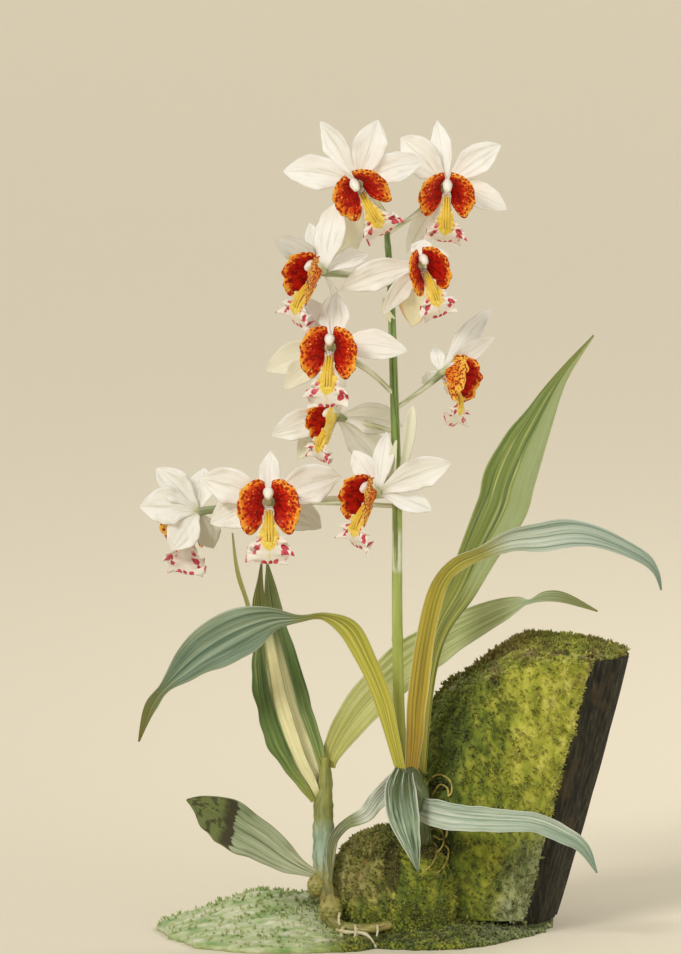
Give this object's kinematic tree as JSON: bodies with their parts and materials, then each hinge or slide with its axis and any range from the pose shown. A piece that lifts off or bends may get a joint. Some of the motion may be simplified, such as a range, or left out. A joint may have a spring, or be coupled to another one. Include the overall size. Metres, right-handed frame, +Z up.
{
  "type": "potted orchid",
  "caption": "Potted phaius tuberculosus: white orchid flowers with spotted red lips on one tall spike, arching pleated leaves, and a leaning moss-covered pot in a bank of moss",
  "frame": {"origin": "middle of the bounding box in plan, on the ground under the moss bank", "axes": "+Z up, +X to the right and -Y to the front, as the picture sees it"},
  "size_m": [0.2872, 0.1478, 0.4531],
  "materials": {
    "petal": "soft satin, translucent",
    "lip": "velvety, spotted dark red on orange",
    "tongue": "soft satin, pink blotches and yellow ridges",
    "stem": "smooth plant skin",
    "leaf": "satin, pleated",
    "yellow_leaf": "satin, pleated",
    "pale_leaf": "satin, bloom on the surface",
    "sheath": "satin",
    "rhizome": "matt, scaly",
    "root": "matt",
    "moss": "matt, tufted",
    "bark": "rough, upright grain",
    "soil": "crumbly, matt"
  },
  "bodies": {
    "root": {"leaf_a1": "pale_leaf", "leaf_a2_left": "leaf", "leaf_a2_right": "leaf", "leaf_a3": "yellow_leaf", "leaf_a4": "pale_leaf", "leaf_b1": "leaf", "leaf_b2": "leaf", "leaf_b3": "leaf", "leaf_b4": "pale_leaf", "leaf_b5": "pale_leaf", "leaf_b6": "sheath", "growth_a": "rhizome", "growth_b": "sheath", "scape": "stem", "flower_01_petals": "petal", "flower_01_lip": "lip", "flower_01_tongue": "tongue", "flower_02_petals": "petal", "flower_02_lip": "lip", "flower_02_tongue": "tongue", "flower_03_petals": "petal", "flower_03_lip": "lip", "flower_03_tongue": "tongue", "flower_04_petals": "petal", "flower_04_lip": "lip", "flower_04_tongue": "tongue", "flower_05_petals": "petal", "flower_05_lip": "lip", "flower_05_tongue": "tongue", "flower_06_petals": "petal", "flower_06_lip": "lip", "flower_06_tongue": "tongue", "flower_07_petals": "petal", "flower_07_lip": "lip", "flower_07_tongue": "tongue", "flower_08_petals": "petal", "flower_08_lip": "lip", "flower_08_tongue": "tongue", "flower_09_petals": "petal", "flower_09_lip": "lip", "flower_09_tongue": "tongue", "flower_10_petals": "petal", "flower_10_lip": "lip", "flower_10_tongue": "tongue", "roots": "root", "pot": "bark", "soil": "soil", "pot_moss": "moss", "moss_bank": "moss"}
  },
  "joints": []
}
